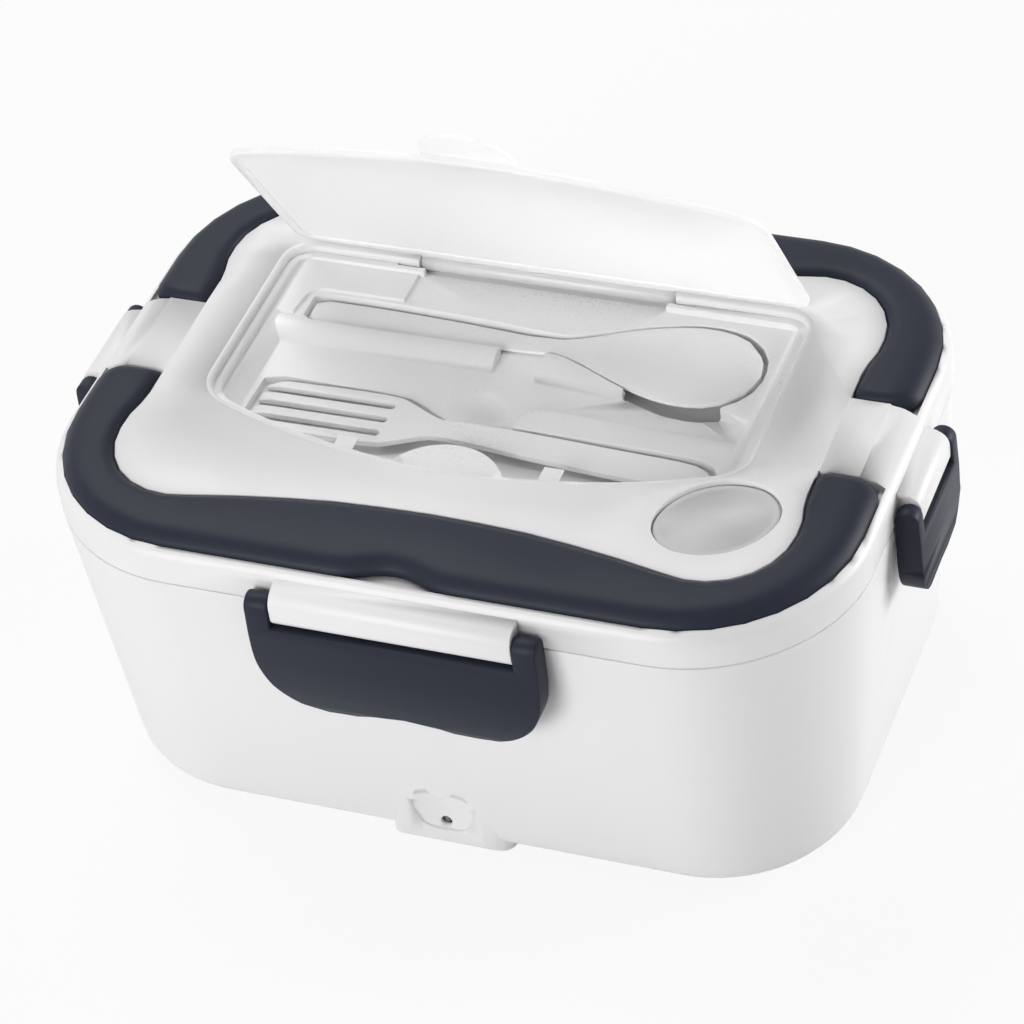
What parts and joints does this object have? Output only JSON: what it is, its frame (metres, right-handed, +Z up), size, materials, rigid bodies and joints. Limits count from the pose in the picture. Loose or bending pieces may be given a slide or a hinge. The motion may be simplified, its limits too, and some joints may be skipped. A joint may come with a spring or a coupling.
{
  "type": "electric lunch box",
  "caption": "Tapered heated lunch box with a lift-off lid held by side latches, two folding handles, and a cutlery tray under a hinged clear cover.",
  "frame": {"origin": "on the table under the middle of the box", "axes": "+X along the length to the right, +Y to the back where the mains inlet is, +Z up"},
  "size_m": [0.246, 0.1806, 0.1891],
  "materials": {
    "body_white": "satin",
    "tray_white": "semi-gloss",
    "slate": "satin",
    "vent_grey": "satin",
    "clear_cover": "frosted translucent",
    "stainless": "brushed",
    "plate_metal": "satin",
    "screw_steel": "plain",
    "foot_rubber": "matte",
    "seal_rubber": "matte",
    "heater_case": "matte",
    "cutout_brown": "matte",
    "board_green": "matte",
    "lamp_lens": "clear lens, unlit",
    "inlet_black": "matte",
    "lead_red": "matte",
    "lead_black": "matte"
  },
  "bodies": {
    "base": {"base_shell": "body_white", "latch_catches": "body_white", "inner_liner": "body_white", "bottom_cover": "body_white", "cover_screws": "screw_steel", "rubber_feet": "foot_rubber", "heating_plate": "plate_metal", "ptc_heater": "heater_case", "heater_clamp": "screw_steel", "clamp_screws": "screw_steel", "thermal_cutout": "cutout_brown", "led_board": "board_green", "indicator_led": "lamp_lens", "power_inlet": "inlet_black", "inlet_screws": "screw_steel", "heater_leads": "lead_red", "led_leads": "lead_black", "food_container": "stainless"},
    "lid": {"lid_shell": "body_white", "cutlery_tray": "tray_white", "lid_liner": "body_white", "lid_seal": "seal_rubber", "lid_screws": "screw_steel"},
    "vent_plug_body": {"vent_plug": "vent_grey"},
    "front_handle_body": {"front_handle": "slate"},
    "rear_handle_body": {"rear_handle": "slate"},
    "front_latch_body": {"front_latch": "slate"},
    "rear_latch_body": {"rear_latch": "slate"},
    "left_latch_body": {"left_latch": "slate"},
    "right_latch_body": {"right_latch": "slate"},
    "cutlery_cover_body": {"cutlery_cover": "clear_cover"},
    "spoon_body": {"spoon": "tray_white"},
    "fork_body": {"fork": "tray_white"}
  },
  "joints": [
    {"name": "lid_lift", "type": "slide", "parent": "base", "child": "lid", "axis": [0, 0, 1], "range_m": [0, 0.12]},
    {"name": "front_latch_hinge", "type": "hinge", "parent": "lid", "child": "front_latch_body", "pos_m": [0, -0.08645, 0.0949], "axis": [-1, 0, 0], "range_deg": [0, 110]},
    {"name": "rear_latch_hinge", "type": "hinge", "parent": "lid", "child": "rear_latch_body", "pos_m": [0, 0.08645, 0.0949], "axis": [1, 0, 0], "range_deg": [0, 110]},
    {"name": "left_latch_hinge", "type": "hinge", "parent": "lid", "child": "left_latch_body", "pos_m": [-0.1192, 0, 0.0949], "axis": [0, 1, 0], "range_deg": [0, 110]},
    {"name": "right_latch_hinge", "type": "hinge", "parent": "lid", "child": "right_latch_body", "pos_m": [0.1192, 0, 0.0949], "axis": [0, -1, 0], "range_deg": [0, 110]},
    {"name": "front_handle_hinge", "type": "hinge", "parent": "lid", "child": "front_handle_body", "pos_m": [0, -0.0188, 0.1039], "axis": [-1, 0, 0], "range_deg": [0, 90]},
    {"name": "rear_handle_hinge", "type": "hinge", "parent": "lid", "child": "rear_handle_body", "pos_m": [0, 0.0188, 0.1039], "axis": [1, 0, 0], "range_deg": [0, 66]},
    {"name": "cover_hinge", "type": "hinge", "parent": "lid", "child": "cutlery_cover_body", "pos_m": [0, 0.0486, 0.1035], "axis": [-1, 0, 0], "range_deg": [-58.5, 36.5]},
    {"name": "vent_lift", "type": "slide", "parent": "lid", "child": "vent_plug_body", "axis": [0, 0, 1], "range_m": [0, 0.02]},
    {"name": "spoon_lift", "type": "slide", "parent": "lid", "child": "spoon_body", "axis": [0, 0, 1], "range_m": [0, 0.01]},
    {"name": "fork_lift", "type": "slide", "parent": "lid", "child": "fork_body", "axis": [0, 0, 1], "range_m": [0, 0.03]}
  ]
}
